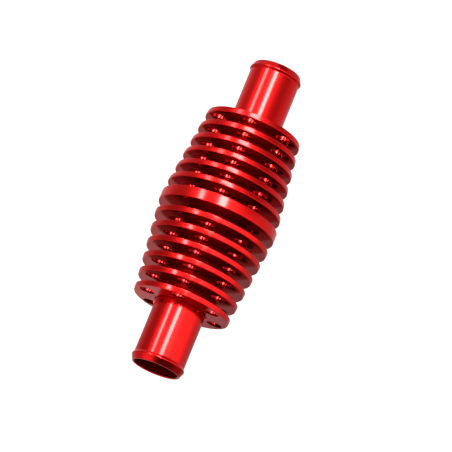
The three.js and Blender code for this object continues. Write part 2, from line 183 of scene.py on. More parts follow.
# Studio round the hanging filter
FLOOR_HEIGHT = -500 * MM
FLOOR_REACH = 6.0
TENT_RADIUS = 700 * MM
TENT_TOP = 900 * MM
TENT_STEPS = 96
TENT_PEAK = 6.0
LAMP_DISTANCE = 500 * MM
LAMP_WATTS_PER_BRIGHTNESS = 4.0
CARD_RADIUS = 620 * MM
CARD_HEIGHT = -420 * MM
WORLD_SOFT_STRENGTH = 0.5
FLOOR_PAINT = (0.8, 0.8, 0.8, 1)
FLOOR_GLOW = 0.75


def length(name, description, millimetres):
    return FloatProperty(name=name, description=description, default=millimetres * MM, unit="LENGTH")


def tint(name, description, colour):
    return FloatVectorProperty(name=name, description=description, default=colour, subtype="COLOR")


class FilterSizes(bpy.types.PropertyGroup):
    fin_thickness: length("Fin thickness", "Thickness of one fin", 2.0)
    fin_gap: length("Fin gap", "Open width between two fins", 3.4)
    band_width: length("Band width", "Width of the plain centre band", 4.0)
    fin_edge: length("Fin edge", "Rounding of the fins' rims", 0.35)
    hole_radius: length("Hole radius", "Radius of a lengthwise hole", 2.7)
    hole_circle: length("Hole circle", "Radius of the circle of holes", 13.5)
    hole_edge: length("Hole edge", "Rounding of the holes' edges", 0.12)
    spigot_radius: length("Spigot radius", "Outer radius of a hose spigot", 9.0)
    bore_radius: length("Bore radius", "Radius of a spigot's bore", 7.85)
    bead_height: length("Bead height", "Height of the hose bead", 0.55)
    bead_round: length("Bead rounding", "Rounding of the bead's crest", 0.5)
    chamber_radius: length("Chamber radius", "Radius of the cartridge's chamber", 8.1)
    screen_hole: length("Screen hole", "Radius of a hole in the coarse screen", 0.55)
    spring_wire: length("Spring wire", "Diameter of the spring's wire", 1.0)
    spring_turns: FloatProperty(
        name="Spring turns", description="Turns of the spring, with its closed ends", default=4.5)
    pleat_count: IntProperty(name="Pleats", description="Number of folds in the filter mesh", default=16)


class FilterColours(bpy.types.PropertyGroup):
    anodised: tint("Anodised", "Red dyed oxide on aluminium", (0.55, 0.005, 0.0047))
    rubber: tint("Rubber", "Seal rings", (0.022, 0.022, 0.024))
    steel: tint("Steel", "Spring, washers, tubes and ring", (0.60, 0.60, 0.61))
    mesh: tint("Mesh", "Woven wire", (0.50, 0.50, 0.47))
    plain: tint("Plain aluminium", "End caps of the cartridge", (0.72, 0.73, 0.75))
    resin: tint("Resin", "Potting rings", (0.05, 0.056, 0.066))


def polar(radius, angle, height):
    return Vector((radius * cos(angle), radius * sin(angle), height))


def circle(radius, height, steps=AROUND, start=0.0):
    return [polar(radius, start + 2 * pi * i / steps, height) for i in range(steps)]


def at_height(line, height):
    return [Vector((p.x, p.y, height)) for p in line]


def heading(azimuth):
    """The level direction of a camera azimuth, from the axis outwards."""
    return Vector((sin(azimuth), -cos(azimuth), 0))


def rounded(corners, radius, closed=False):
    """An outline of (radius, height) corners with arcs in them. A corner's third value is its own radius."""
    points = []
    count = len(corners)
    for i, corner in enumerate(corners):
        here = Vector(corner[:2])
        wanted = corner[2] if len(corner) > 2 else radius
        if wanted == 0 or (not closed and i in (0, count - 1)):
            points.append(here)
            continue
        back = Vector(corners[i - 1][:2]) - here
        ahead = Vector(corners[(i + 1) % count][:2]) - here
        half_turn = back.angle(ahead) / 2
        reach = min(wanted / tan(half_turn), LARGEST_CORNER_SHARE * min(back.length, ahead.length))
        back.normalize()
        ahead.normalize()
        bend = reach * tan(half_turn)
        centre = here + (back + ahead).normalized() * (bend / sin(half_turn))
        start = here + back * reach - centre
        end = here + ahead * reach - centre
        for k in range(CORNER_STEPS + 1):
            points.append(centre + start.lerp(end, k / CORNER_STEPS).normalized() * bend)
    return points


def turned(corners, edge, closed=False):
    """The loops of an outline that is turned round the axis."""
    return [circle(r, z) for r, z in rounded(corners, edge, closed)]


class Skin:
    """Patches of faces, which are welded into closed bodies when the piece is made."""

    def __init__(self):
        self.points = []
        self.faces = []
        self.finishes = {}

    def loft(self, loops, closed=False, capped=False, finish=POLISHED):
        """Quads between loops of equal length, in the piece's nth finish, with faces on capped ends."""
        first = len(self.points)
        rows = len(loops)
        count = len(loops[0])
        for loop in loops:
            self.points.extend(loop)
        for row in range(rows if closed else rows - 1):
            here = first + row * count
            there = first + ((row + 1) % rows) * count
            for i in range(count):
                j = (i + 1) % count
                self.finishes[len(self.faces)] = finish
                self.faces.append((here + i, here + j, there + j, there + i))
        if capped:
            end = len(self.points)
            self.faces += [tuple(range(first, first + count)), tuple(range(end - count, end))]

    def plate(self, outlines, low, high):
        """A flat plate; the first outline is its rim, and the others are holes in it."""
        flat = [Vector((p.x, p.y)) / MM for line in outlines for p in line]
        owner = [k for k, line in enumerate(outlines) for _ in line]
        edges = []
        for line in outlines:
            first = len(edges)
            edges += [(first + i, first + (i + 1) % len(line)) for i in range(len(line))]
            self.loft([at_height(line, z) for z in (low, high)])
        points, _, triangles = delaunay_2d_cdt(flat, edges, [], 1, PLATE_TOLERANCE)[:3]
        triangles = [t for t in triangles if owner[t[0]] == 0 or len({owner[i] for i in t}) > 1]
        for z in (low, high):
            first = len(self.points)
            self.points.extend(Vector((p.x * MM, p.y * MM, z)) for p in points)
            self.faces.extend(tuple(first + i for i in triangle) for triangle in triangles)

    def wire(self, path, radius, sides, closed=False):
        """A round wire along points that go round or along the axis."""
        loops = []
        last = len(path) - 1
        for i, here in enumerate(path):
            if closed:
                along = path[(i + 1) % len(path)] - path[i - 1]
            else:
                along = path[min(i + 1, last)] - path[max(i - 1, 0)]
            side = along.cross(Vector((here.x, here.y, 0))).normalized()
            up = side.cross(along).normalized()
            turns = [2 * pi * k / sides for k in range(sides)]
            loops.append([here + radius * (cos(t) * up + sin(t) * side) for t in turns])
        self.loft(loops, closed, capped=not closed)


def set_inputs(node, inputs):
    """Sets a node's inputs, each to a value or to another node's socket."""
    for key, value in inputs.items():
        if isinstance(value, bpy.types.NodeSocket):
            node.id_data.links.new(value, node.inputs[key])
        else:
            node.inputs[key].default_value = value


def add_node(tree, kind, inputs=None, **settings):
    made = tree.nodes.new("ShaderNode" + kind)
    for key, value in settings.items():
        setattr(made, key, value)
    set_inputs(made, inputs or {})
    return made


def new_material(name):
    material = bpy.data.materials.new(name)
    material.use_nodes = True
    return material, material.node_tree


def new_finish(name, colour, metallic, roughness):
    finish, tree = new_material(name)
    shader = tree.nodes["Principled BSDF"]
    set_inputs(shader, {"Base Color": (*colour, 1), "Metallic": metallic, "Roughness": roughness})
    return finish, tree, shader


def object_place(tree):
    return add_node(tree, "TexCoord").outputs["Object"]


def object_axes(tree):
    """The x, y and z of a point, in the frame of its own piece."""
    return add_node(tree, "SeparateXYZ", {"Vector": object_place(tree)}).outputs


def maths(tree, operation, first, second=0.5):
    return add_node(tree, "Math", {0: first, 1: second}, operation=operation).outputs[0]


def map_range(tree, value, low, high):
    inputs = {"Value": value, "To Min": low, "To Max": high}
    return add_node(tree, "MapRange", inputs).outputs["Result"]


def turning_marks(tree, pitch):
    """Fine rings as a lathe leaves them, round the axis on walls and faces alike."""
    x, y, z = object_axes(tree)
    level = add_node(tree, "CombineXYZ", {"X": x, "Y": y})
    radius = add_node(tree, "VectorMath", {"Vector": level.outputs[0]}, operation="LENGTH")
    travel = maths(tree, "ADD", radius.outputs["Value"], z)
    inputs = {"W": travel, "Scale": 1 / pitch, "Detail": 2.0}
    return add_node(tree, "TexNoise", inputs, noise_dimensions="1D").outputs[0]


def grain(tree, size, detail=2.0):
    inputs = {"Vector": object_place(tree), "Scale": 1 / size, "Detail": detail}
    return add_node(tree, "TexNoise", inputs).outputs[0]


def vary(tree, shader, colour, shading, roughness, relief):
    """Joins patterns to a shader: one that darkens, one that sets the roughness and one that lifts."""
    pattern, share = shading
    darker = [channel * (1 - share) for channel in colour]
    inputs = {0: pattern, 6: (*colour, 1), 7: (*darker, 1)}
    mixed = add_node(tree, "Mix", inputs, data_type="RGBA")
    pattern, depth, strength = relief
    lifted = add_node(tree, "Bump", {"Height": pattern, "Distance": depth, "Strength": strength})
    set_inputs(shader, {
        "Base Color": mixed.outputs[2],
        "Roughness": map_range(tree, *roughness),
        "Normal": lifted.outputs["Normal"],
    })


def brush(tree, shader, strength):
    """Stretches highlights across marks that run round the axis."""
    tangent = add_node(tree, "Tangent", direction_type="RADIAL", axis="Z")
    set_inputs(shader, {"Anisotropic": strength, "Tangent": tangent.outputs[0]})


def dyed_finish(name, colour, painted_shade_factor, roughness, edge, coat):
    """Dyed oxide on machined aluminium: a saturated mirror under a thin clear skin. A factor below one
    darkens the colour, as painted shade of a recess.
    """
    # Painted shade: the red darkened by the factor for copies that sit in recesses
    colour_with_painted_shade = tuple(channel * painted_shade_factor for channel in colour)
    finish, tree, shader = new_finish(name, colour_with_painted_shade, 1.0, roughness[0])
    skin = {"Coat Weight": coat, "Coat Roughness": 0.12, "Coat IOR": 1.5}
    set_inputs(shader, {"Specular Tint": (1.0, edge, edge, 1), **skin})
    brush(tree, shader, 0.25)
    marks = turning_marks(tree, 0.16 * MM)
    vary(tree, shader, colour_with_painted_shade, (grain(tree, 9 * MM), 0.08), (marks, *roughness), (marks, 0.006 * MM, 0.12))
    return finish


def anodised_finishes(colour):
    """Polished rims and spigots, then copies of the red darkened as painted shade for the fins' sides, the
    rough-cut core, the drilled holes and the bores.
    """
    return [
        dyed_finish("red anodised", colour, 1.0, (0.16, 0.22), 0.72, 0.08),
        dyed_finish("red anodised fin sides", colour, 0.62, (0.09, 0.13), 0.66, 0.0),
        dyed_finish("red anodised core", colour, 0.24, (0.64, 0.76), 0.5, 0.0),
        dyed_finish("red anodised holes", colour, 0.40, (0.16, 0.24), 0.7, 0.12),
        dyed_finish("red anodised bores", colour, 0.5, (0.44, 0.56), 0.6, 0.0),
    ]


def rubber_finish(colour):
    """Moulded seal rubber, matt with a slight bloom."""
    finish, tree, shader = new_finish("seal rubber", colour, 0.0, 0.55)
    speckle = grain(tree, 0.35 * MM, 4.0)
    bloom = grain(tree, 1.6 * MM)
    vary(tree, shader, colour, (speckle, 0.35), (bloom, 0.42, 0.66), (speckle, 0.02 * MM, 0.3))
    return [finish]


def steel_finish(colour):
    """Bright stainless sheet and wire with fine drawing lines."""
    finish, tree, shader = new_finish("bright stainless", colour, 1.0, 0.28)
    marks = turning_marks(tree, 0.09 * MM)
    clouds = grain(tree, 2.5 * MM)
    vary(tree, shader, colour, (clouds, 0.14), (marks, 0.20, 0.36), (marks, 0.01 * MM, 0.2))
    return [finish]


def mesh_finish(colour):
    """Woven stainless wire: two crossing sets of threads round and along the axis."""
    finish, tree, shader = new_finish("woven stainless", colour, 1.0, 0.42)
    threads_round = 110.0
    threads_pitch = 0.22 * MM
    x, y, z = object_axes(tree)
    turn = maths(tree, "MULTIPLY", maths(tree, "ARCTAN2", y, x), threads_round)
    rise = maths(tree, "MULTIPLY", z, 2 * pi / threads_pitch)
    weave = maths(tree, "MULTIPLY", maths(tree, "SINE", turn), maths(tree, "SINE", rise))
    height = map_range(tree, weave, 0.0, 1.0)
    vary(tree, shader, colour, (height, 0.45), (weave, 0.34, 0.55), (height, 0.04 * MM, 0.6))
    return [finish]


def plain_finish(colour):
    """Bare turned aluminium with open tool marks."""
    finish, tree, shader = new_finish("plain aluminium", colour, 1.0, 0.36)
    brush(tree, shader, 0.5)
    marks = turning_marks(tree, 0.22 * MM)
    clouds = grain(tree, 3 * MM)
    vary(tree, shader, colour, (clouds, 0.10), (marks, 0.26, 0.44), (marks, 0.02 * MM, 0.35))
    return [finish]


def resin_finish(colour):
    """Cast epoxy, dark and half gloss, with faint clouds and pin bubbles."""
    finish, tree, shader = new_finish("potting resin", colour, 0.0, 0.35)
    clouds = grain(tree, 1.8 * MM, 5.0)
    inputs = {"Vector": object_place(tree), "Scale": 1 / (0.6 * MM)}
    bubbles = add_node(tree, "TexVoronoi", inputs).outputs["Distance"]
    vary(tree, shader, colour, (clouds, 0.4), (clouds, 0.25, 0.5), (bubbles, 0.05 * MM, 0.25))
    return [finish]


MAKERS = {
    "anodised": anodised_finishes,
    "rubber": rubber_finish,
    "steel": steel_finish,
    "mesh": mesh_finish,
    "plain": plain_finish,
    "resin": resin_finish,
}


@cache
def finishes_of(slot):
    """The finishes of a slot, made once from its colour."""
    return MAKERS[slot](tuple(getattr(bpy.context.scene.filter_colours, slot)))


def new_mesh(name, points, faces):
    mesh = bpy.data.meshes.new(name)
    mesh.from_pydata([tuple(p) for p in points], [], faces)
    return mesh


def new_object(name, data):
    made = bpy.data.objects.new(name, data)
    bpy.context.scene.collection.objects.link(made)
    return made


def dress(name, node, skin, slot, rides=True):
    """Welds a skin into a closed piece that stands for a node, in the finish of its slot."""
    mesh = new_mesh(name, skin.points, skin.faces)
    for face in mesh.polygons:
        face.material_index = skin.finishes.get(face.index, POLISHED)
    work = bmesh.new()
    work.from_mesh(mesh)
    bmesh.ops.remove_doubles(work, verts=work.verts, dist=WELD_DISTANCE)
    bmesh.ops.recalc_face_normals(work, faces=work.faces)
    if any(not edge.is_manifold for edge in work.edges):
        raise RuntimeError(f"{name} isn't closed")
    work.to_mesh(mesh)
    work.free()
    mesh.shade_smooth()
    mesh.set_sharp_from_angle(angle=SHARP_ANGLE)
    for finish in finishes_of(slot):
        mesh.materials.append(finish)
    piece = new_object(name, mesh)
    piece.modifiers.new("flat faces keep flat", "WEIGHTED_NORMAL").keep_sharp = True
    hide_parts(node)
    if rides:
        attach(piece, PIECE_BODY[node])
    return piece


def dress_loft(name, node, slot, loops, **how):
    """A piece whose whole skin is one loft."""
    skin = Skin()
    skin.loft(loops, **how)
    dress(name, node, skin, slot)


def thread_loops(start, end, root, widening, flip=1, countersink=0.0):
    """Loops of a screw thread between two heights of the spigot's frame, with a ridge that fades out.

    A countersunk thread is cut at full depth right through its mouth, whose radius is given.
    """
    cut_from = start + THREAD_PITCH if countersink else start
    rows = round(abs(end - start) / THREAD_PITCH * THREAD_ROWS_PER_PITCH)
    loops = []
    for row in range(rows + 1):
        height = start + (end - start) * row / rows
        inside = min(abs(height - cut_from), abs(height - end))
        ridge = THREAD_HEIGHT * min(1.0, inside / THREAD_FADE)
        least = countersink - (start - height)
        loop = []
        for i in range(AROUND):
            angle = 2 * pi * i / AROUND
            place = (height - THREAD_PITCH * flip * angle / (2 * pi)) % THREAD_PITCH
            from_crest = min(place, THREAD_PITCH - place) - THREAD_CREST / 2 - widening
            share = min(1.0, max(0.0, 1 - from_crest / THREAD_FLANK))
            loop.append(polar(max(root + ridge * share, least), angle, height))
        loops.append(loop)
    return loops


def rim_radius(height, size):
    """The barrel's taper: level over the band, then a straight slope to the end fins."""
    half_band = size.band_width / 2
    slope = (BAND_RADIUS - END_FIN_RADIUS) / (BARREL_HIGH - MIDDLE - half_band)
    return BAND_RADIUS - slope * max(0.0, abs(height - MIDDLE) - half_band)


def cell_rim(inner, outer, middle, height):
    """The border of one hole's share of a fin's side."""
    low = middle - pi / HOLE_COUNT
    high = middle + pi / HOLE_COUNT
    rim = []
    for steps, start, end in (
        (ARC_STEPS, (outer, low), (outer, high)),
        (SIDE_STEPS, (outer, high), (inner, high)),
        (ARC_STEPS, (inner, high), (inner, low)),
        (SIDE_STEPS, (inner, low), (outer, low)),
    ):
        for i in range(steps):
            radius, angle = (a + (b - a) * i / steps for a, b in zip(start, end))
            rim.append(polar(radius, angle, height))
    return rim


def hole_rim(radius, circle_radius, middle, height):
    centre = polar(circle_radius, middle, height)
    start = middle - pi * ARC_STEPS / HOLE_STEPS
    return [centre + p for p in circle(radius, 0, HOLE_STEPS, start)]


def add_fin(skin, low, high, mouth, size):
    """One fin: its sloped rim, its two sides and its drilled holes."""
    is_end = [z in (BARREL_LOW, BARREL_HIGH) for z in (low, high)]
    inner = [mouth if end else CORE_RADIUS for end in is_end]
    edge = [size.fin_edge / 2 if end else size.fin_edge for end in is_end]
    rim = rounded([
        (inner[0], low),
        (rim_radius(low, size), low, edge[0]),
        (rim_radius(high, size), high, edge[1]),
        (inner[1], high),
    ], 0)[1:-1]
    skin.loft([circle(r, z) for r, z in rim])
    wide = size.hole_radius + 2 * size.hole_edge
    hole = [(wide, low), (size.hole_radius, low), (size.hole_radius, high), (wide, high)]
    hole = rounded(hole, size.hole_edge)[1:-1]
    for k in range(HOLE_COUNT):
        middle = FIRST_HOLE_ANGLE + 2 * pi * k / HOLE_COUNT
        # The holes' walls take a darker copy of the red, as painted shade
        skin.loft([hole_rim(r, size.hole_circle, middle, z) for r, z in hole], finish=HOLE)
        for side, z in ((0, low), (-1, high)):
            cell = cell_rim(inner[side], rim[side][0], middle, z)
            edge_of_hole = hole_rim(hole[side][0], size.hole_circle, middle, z)
            # Sides that face a gap take a darker copy of the red, as painted shade; the end fins' outer
            # faces keep the polished red
            skin.loft([cell, edge_of_hole], finish=POLISHED if is_end[side] else SIDE)


def end_bore_loops(way, end):
    """The counterbore and the tapped hole at one end, from the mouth inwards."""
    loops = turned([
        (COUNTERBORE_RADIUS + MOUTH_LAND, 0), (COUNTERBORE_RADIUS, 0),
        (COUNTERBORE_RADIUS, -COUNTERBORE_DEPTH), (COUNTERSINK_RADIUS, -COUNTERBORE_DEPTH),
    ], SOFT_EDGE)[1:-1]
    loops += thread_loops(
        -COUNTERBORE_DEPTH, -TAPPED_DEPTH, TAPPED_RADIUS, THREAD_CLEARANCE, way, COUNTERSINK_RADIUS)
    return [at_height(loop, end + way * loop[0].z) for loop in loops]


def build_barrel(size):
    """The barrel from its fins, its band, the core between them and the bore through it."""
    skin = Skin()
    top_loops = end_bore_loops(1, BARREL_HIGH)
    bottom_loops = end_bore_loops(-1, BARREL_LOW)
    mouth = top_loops[0][0].x
    half_band = size.band_width / 2
    low, high = MIDDLE - half_band, MIDDLE + half_band
    band = [(CORE_RADIUS, low), (BAND_RADIUS, low), (BAND_RADIUS, high), (CORE_RADIUS, high)]
    band = turned(band, size.fin_edge)
    skin.loft(band[1:-1])
    # The band's sides face the gaps and take the darker side copy of the red, as painted shade
    skin.loft(band[:2], finish=SIDE)
    skin.loft(band[-2:], finish=SIDE)
    levels = [low, high]
    for side in (-1, 1):
        for i in range(FINS_EACH_SIDE):
            near = half_band + size.fin_gap + i * (size.fin_gap + size.fin_thickness)
            low, high = sorted((MIDDLE + side * near, MIDDLE + side * (near + size.fin_thickness)))
            if i == FINS_EACH_SIDE - 1:
                low, high = (BARREL_LOW, high) if side < 0 else (low, BARREL_HIGH)
            add_fin(skin, low, high, mouth, size)
            levels += [low, high]
    levels = sorted(levels)[1:-1]
    for low, high in zip(levels[::2], levels[1::2]):
        # The core between the fins takes the darkest copy of the red, as painted shade
        skin.loft([circle(CORE_RADIUS, low), circle(CORE_RADIUS, high)], finish=CORE)
    _, ring_low, ring_high = box_ring("retaining_ring")
    groove_low = ring_low - RING_GROOVE_MARGIN
    groove_high = ring_high + RING_GROOVE_MARGIN
    chamber = turned([
        (TAPPED_RADIUS, BARREL_HIGH - TAPPED_DEPTH),
        (size.chamber_radius, BARREL_HIGH - TAPPED_DEPTH - TAPPED_CHAMFER),
        (size.chamber_radius, groove_high), (RING_GROOVE_RADIUS, groove_high),
        (RING_GROOVE_RADIUS, groove_low), (TAPPED_RADIUS, groove_low),
        (TAPPED_RADIUS, groove_low - RING_GROOVE_MARGIN),
    ], TURNED_EDGE)
    skin.loft(top_loops + chamber + bottom_loops[::-1])
    dress("turned_barrel", "finned_body", skin, "anodised")


def spigot_skin(size):
    """A spigot in its own frame: the outside from the mouth down, the thread, and the inside back up."""
    bore = size.bore_radius
    outer = size.spigot_radius
    crest = outer + size.bead_height
    loops = turned([
        (bore, TIP - POLISHED_UNSHADED_BORE), (bore, TIP - (LIP_INNER_RADIUS - bore)),
        (LIP_INNER_RADIUS, TIP, LIP_INNER_EDGE),
        (LIP_OUTER_RADIUS, TIP, LIP_OUTER_EDGE),
        (crest, TIP - BEAD_FROM_TIP, size.bead_round),
        (outer, TIP - BEAD_FROM_TIP - BEAD_BACK_LENGTH, size.bead_round),
        (outer, PILOT_TOP), (PILOT_RADIUS, PILOT_TOP),
        (PILOT_RADIUS, SEAL_GROOVE_TOP), (SEAL_GROOVE_RADIUS, SEAL_GROOVE_TOP),
        (SEAL_GROOVE_RADIUS, SEAL_GROOVE_END), (PILOT_RADIUS, SEAL_GROOVE_END),
        (PILOT_RADIUS, PILOT_END, PILOT_END_EDGE),
        (THREAD_ROOT, PILOT_END), (THREAD_ROOT, THREAD_START + THREAD_JOIN),
    ], TURNED_EDGE)
    loops += thread_loops(THREAD_START, THREAD_END, THREAD_ROOT, 0.0)
    loops += turned([
        (THREAD_ROOT, THREAD_END - THREAD_JOIN), (THREAD_ROOT, -NOSE, NOSE_EDGE),
        (RECESS_RADIUS, -NOSE), (RECESS_RADIUS, RECESS_DEPTH - NOSE),
        (PASSAGE_RADIUS, RECESS_DEPTH - NOSE, SOFT_EDGE),
        (PASSAGE_RADIUS, KEY_SOCKET_END), (KEY_RELIEF_RADIUS, KEY_SOCKET_END),
    ], TURNED_EDGE)
    loops += [key_socket_loop(KEY_SOCKET_END), key_socket_loop(0.0), circle(bore, BORE_FLOOR)]
    skin = Skin()
    skin.loft(loops)
    # The bore below its polished mouth is rougher and takes a darker copy of the red, as painted shade
    skin.loft([loops[-1], loops[0]], finish=BORE)
    return skin


def key_socket_loop(height):
    """The hexagon that a key fits, with its corners midway between the flats."""
    loop = []
    sixth = pi / 3
    for i in range(AROUND):
        angle = 2 * pi * i / AROUND
        from_flat = (angle + sixth / 2) % sixth - sixth / 2
        loop.append(polar(KEY_HALF_WIDTH / cos(from_flat), angle, height))
    return loop


def build_spigots(size):
    inlet_place = Matrix.Translation((0, 0, BARREL_HIGH))
    outlet_place = Matrix.Translation((0, 0, BARREL_LOW)) @ Matrix.Rotation(pi, 4, "X")
    for end, place in (("inlet", inlet_place), ("outlet", outlet_place)):
        skin = spigot_skin(size)
        skin.points = [place @ p for p in skin.points]
        dress(f"{end}_hose_spigot", f"{end}_spigot", skin, "anodised")


def box_ring(node):
    """The outer radius, the lowest and the highest point of a round node."""
    low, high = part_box(node)
    return high.x, low.z, high.z


def build_seals(size):
    """Squeezed rings, flat where they are pressed and round at their two free sides."""
    flatness = 0.6
    end_seal = (SEAL_GROOVE_RADIUS + SEAL_GAP, COUNTERBORE_RADIUS - SEAL_GAP)
    for node, inner, outer in (
        ("inlet_o_ring", *end_seal),
        ("outlet_o_ring", *end_seal),
        ("element_o_ring", ELEMENT_GROOVE_RADIUS + SEAL_GAP, size.chamber_radius - SEAL_GAP),
    ):
        _, low, high = box_ring(node)
        section = []
        for k in range(SMALL_STEPS):
            turn = 2 * pi * k / SMALL_STEPS
            across = copysign(abs(cos(turn)) ** flatness, cos(turn))
            radius = (inner + outer) / 2 + (outer - inner) / 2 * across
            section.append(circle(radius, (low + high) / 2 + (high - low) / 2 * sin(turn)))
        dress_loft(f"{node}_seal", node, "rubber", section, closed=True)


def stamp(name, node, slot, outlines, edge):
    """A flat piece with holes, whose sharp edges are rounded before its other modifiers."""
    _, low, high = box_ring(node)
    skin = Skin()
    skin.plate(outlines, low, high)
    piece = dress(name, node, skin, slot)
    rounding = piece.modifiers.new("stamped edges", "BEVEL")
    rounding.width = edge
    rounding.segments = 2
    rounding.limit_method = "ANGLE"
    rounding.angle_limit = SHARP_ANGLE
    piece.modifiers.move(len(piece.modifiers) - 1, 0)


def build_screen(size):
    pitch = 2.1 * MM
    outlines = [circle(box_ring("inlet_screen")[0], 0)]
    for ring, count in ((0, 1), (1, 6), (2, 12)):
        for i in range(count):
            centre = polar(ring * pitch, 2 * pi * i / count, 0)
            outlines.append([centre + p for p in circle(size.screen_hole, 0, SMALL_STEPS)])
    stamp("perforated_screen", "inlet_screen", "mesh", outlines, THIN_EDGE)


def build_washers():
    hole = 4.9 * MM
    edge = 0.18 * MM
    for name, node in (
        ("pressed_thrust_washer", "thrust_washer"),
        ("cartridge_support_washer", "support_washer"),
    ):
        outer, low, high = box_ring(node)
        corners = [(hole, low), (outer, low), (outer, high), (hole, high)]
        dress_loft(name, node, "steel", turned(corners, edge, closed=True), closed=True)


def build_retaining_ring():
    """A split ring whose ends widen into lugs, each with a hole for the pliers."""
    outer = box_ring("retaining_ring")[0]
    band = 1.35 * MM
    edge = 0.07 * MM
    opening = pi / 7
    span = 2 * pi - opening
    steps = 120
    lug_span = radians(17)
    lug_depth = 1.5 * MM
    lug_limit = 0.62 * lug_depth
    hole_radius = 0.5 * MM
    hole_depth = 0.95 * band
    hole_from_end = radians(6)
    rim = []
    inside = []
    for i in range(steps + 1):
        share = i / steps
        angle = opening / 2 + share * span
        drop = max(0.0, 1 - min(share, 1 - share) * span / lug_span)
        lug = lug_depth * drop * drop * (3 - 2 * drop)
        rim.append(polar(outer, angle, 0))
        inside.append(polar(outer - band - min(lug, lug_limit), angle, 0))
    outlines = [rim + inside[::-1]]
    for side in (-1, 1):
        centre = polar(outer - hole_depth, side * (opening / 2 + hole_from_end), 0)
        outlines.append([centre + p for p in circle(hole_radius, 0, SMALL_STEPS)])
    stamp("split_retaining_ring", "retaining_ring", "steel", outlines, edge)


def build_spring(size):
    """A coil with closed, ground ends, that stretches between the cartridge and the inlet spigot."""
    _, low, high = box_ring("pressure_spring")
    mean = 6.1 * MM
    wire = size.spring_wire
    turns = size.spring_turns
    closed_turns = 0.85
    closed_rise = 1.04 * wire
    steps = round(turns * SPRING_STEPS_PER_TURN)
    open_turns = turns - 2 * closed_turns
    open_rise = (high - low - wire - 2 * closed_turns * closed_rise) / open_turns
    path = []
    for i in range(steps + 1):
        turn = turns * i / steps
        opened = min(max(turn - closed_turns, 0.0), open_turns)
        height = low + wire / 2 + closed_rise * (turn - opened) + open_rise * opened
        path.append(polar(mean, 2 * pi * turn, height))
    skin = Skin()
    skin.wire(path, wire / 2, SPRING_SIDES)
    piece = dress("coil_spring", "pressure_spring", skin, "steel", rides=False)
    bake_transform(piece)


def build_top_cap():
    """The cartridge's closed cap: a cup with a boss that centres the spring, and a dimple in the boss."""
    outer, low, high = box_ring("element_top_cap")
    boss = 4.9 * MM
    boss_height = 1.2 * MM
    boss_edge = 0.35 * MM
    plate = 1.2 * MM
    shoulder = 0.45 * MM
    relief = 0.2 * MM
    relief_width = 0.7 * MM
    dimple = 1.1 * MM
    dimple_depth = 0.5 * MM
    dimple_slope = 0.5 * MM
    axis = 0.02 * MM
    top = high - boss_height
    loops = turned([
        (axis, top - plate), (outer - CUP_WALL, top - plate),
        (outer - CUP_WALL, low, THIN_EDGE), (outer, low, THIN_EDGE),
        (outer, top, shoulder),
        (boss + relief_width + relief, top, relief), (boss + relief_width, top - relief),
        (boss, top - relief, SOFT_EDGE), (boss, high, boss_edge),
        (dimple + dimple_slope, high), (dimple, high - dimple_depth), (axis, high - dimple_depth),
    ], TURNED_EDGE)
    loops = [circle(0, top - plate), *loops, circle(0, high - dimple_depth)]
    dress_loft("cartridge_top_cap", "element_top_cap", "plain", loops)


def build_bottom_cap():
    """The cartridge's open cap: a flange with the seal's groove, and a cup for the pleats."""
    flange, low, high = box_ring("element_bottom_cap")
    bore = 3.6 * MM
    cup = 7.25 * MM
    cup_edge = 0.08 * MM
    flange_edge = 0.3 * MM
    shoulder = 0.2 * MM
    flange_top = low + 3.4 * MM
    cup_floor = flange_top + 0.3 * MM
    groove_low = low + 0.95 * MM
    groove_high = groove_low + 1.5 * MM
    loops = turned([
        (bore, low, flange_edge), (flange, low, flange_edge),
        (flange, groove_low, THIN_EDGE), (ELEMENT_GROOVE_RADIUS, groove_low, SOFT_EDGE),
        (ELEMENT_GROOVE_RADIUS, groove_high, SOFT_EDGE), (flange, groove_high, THIN_EDGE),
        (flange, flange_top, shoulder), (cup, flange_top),
        (cup, high, cup_edge), (cup - CUP_WALL, high, cup_edge),
        (cup - CUP_WALL, cup_floor), (bore, cup_floor, SOFT_EDGE),
    ], TURNED_EDGE, closed=True)
    dress_loft("cartridge_bottom_cap", "element_bottom_cap", "plain", loops, closed=True)


def build_sleeve(name, node, inner, columns, rows, share):
    """A rolled tube with staggered round holes, each in its own cell of the wall."""
    outer, low, high = box_ring(node)
    first_row = low + SLEEVE_MARGIN
    last_row = high - SLEEVE_MARGIN
    half_turn = pi / columns
    half_rise = (last_row - first_row) / rows / 2
    reach = share * min(half_rise, half_turn * outer)
    skin = Skin()
    for row in range(rows):
        for column in range(columns):
            middle = (2 * column + row % 2) * half_turn
            centre = first_row + (2 * row + 1) * half_rise
            border = []
            hole = []
            for k in range(4 * CELL_STEPS):
                side, step = divmod(k, CELL_STEPS)
                t = 2 * step / CELL_STEPS - 1
                u, v = ((t, -1), (1, t), (-t, 1), (-1, -t))[side]
                turn = atan2(v, u)
                border.append((middle + u * half_turn, centre + v * half_rise))
                hole.append((middle + reach / outer * cos(turn), centre + reach * sin(turn)))
            wall = [[[polar(r, *p) for p in line] for line in (border, hole)] for r in (inner, outer)]
            skin.loft(wall[0])
            skin.loft(wall[1])
            skin.loft([wall[0][1], wall[1][1]])
    for row, start, end in ((0, first_row, low), (rows - 1, last_row, high)):
        outline = rounded([(inner, start), (inner, end), (outer, end), (outer, start)], THIN_EDGE)
        turn = (row % 2 - 1) * half_turn
        skin.loft([circle(r, z, columns * CELL_STEPS, turn) for r, z in outline])
    dress(name, node, skin, "steel")


